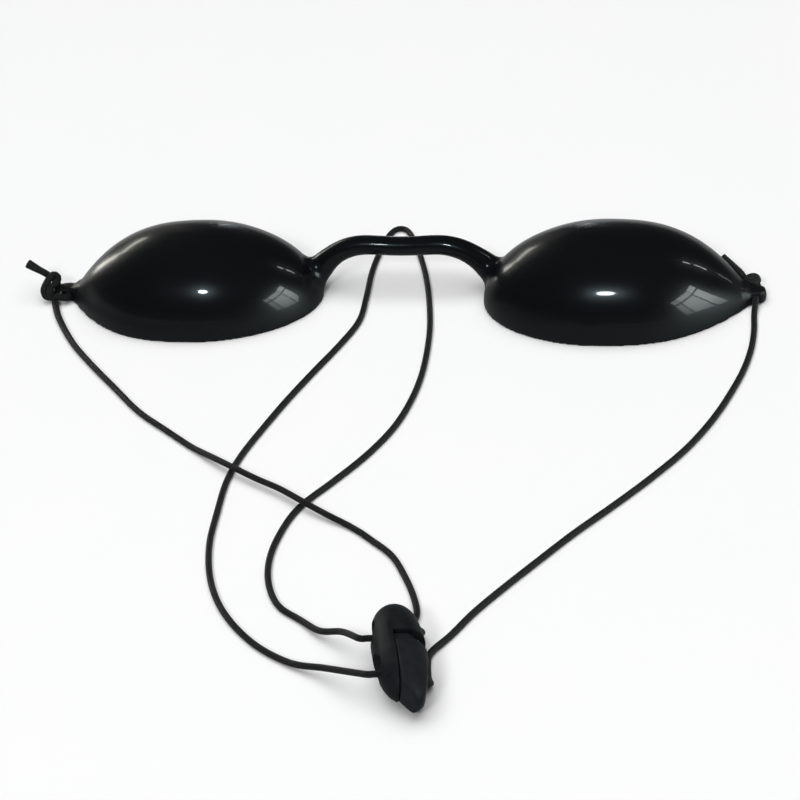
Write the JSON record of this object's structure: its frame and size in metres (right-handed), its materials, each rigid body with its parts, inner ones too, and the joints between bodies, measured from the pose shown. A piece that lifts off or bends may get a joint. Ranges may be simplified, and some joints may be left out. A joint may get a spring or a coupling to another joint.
{
  "type": "laser patient goggles",
  "caption": "Opaque black eye cups on a flexible nose bridge, with an elastic cord knotted to both outer ends and a spring-loaded squeeze cord lock.",
  "frame": {"origin": "middle of the nose in the plane of the cups' rims, which is the plane the goggles rest on", "axes": "+X from the left cup to the right cup, +Y towards the forehead, +Z away from the face"},
  "size_m": [0.1703, 0.1605, 0.0175],
  "materials": {
    "shield": "smooth high-gloss black moulding",
    "cord": "fine braided black cover over an elastic core",
    "lock": "satin black moulding with a fine grain",
    "spring": "bright drawn spring wire"
  },
  "bodies": {
    "shield": {"left_cup": "shield", "nose_bridge": "shield", "left_knot": "cord", "left_strand": "cord", "right_strand": "cord", "cord_loop": "cord"},
    "right_eye": {"right_cup": "shield", "right_knot": "cord"},
    "cord_lock": {"lock_body": "lock", "lock_spring": "spring"},
    "plunger": {"lock_plunger": "lock"}
  },
  "joints": [
    {"name": "bridge_flex", "type": "hinge", "parent": "shield", "child": "right_eye", "pos_m": [0, 0.0052, 0.0103], "axis": [0, 1, 0], "range_deg": [-10, 12], "stiffness_Nm_per_rad": 0.19, "deforming": ["nose_bridge", "right_strand"]},
    {"name": "lock_slide", "type": "slide", "parent": "shield", "child": "cord_lock", "axis": [0.9511, 0.309, 0], "range_m": [-0.012, 0.015], "deforming": ["left_strand", "right_strand", "cord_loop"]},
    {"name": "plunger_press", "type": "slide", "parent": "cord_lock", "child": "plunger", "axis": [-0.309, 0.9511, 0], "range_m": [0, 0.0028], "stiffness_N_per_m": 900, "springref_m": -0.002, "deforming": ["lock_spring"]}
  ]
}
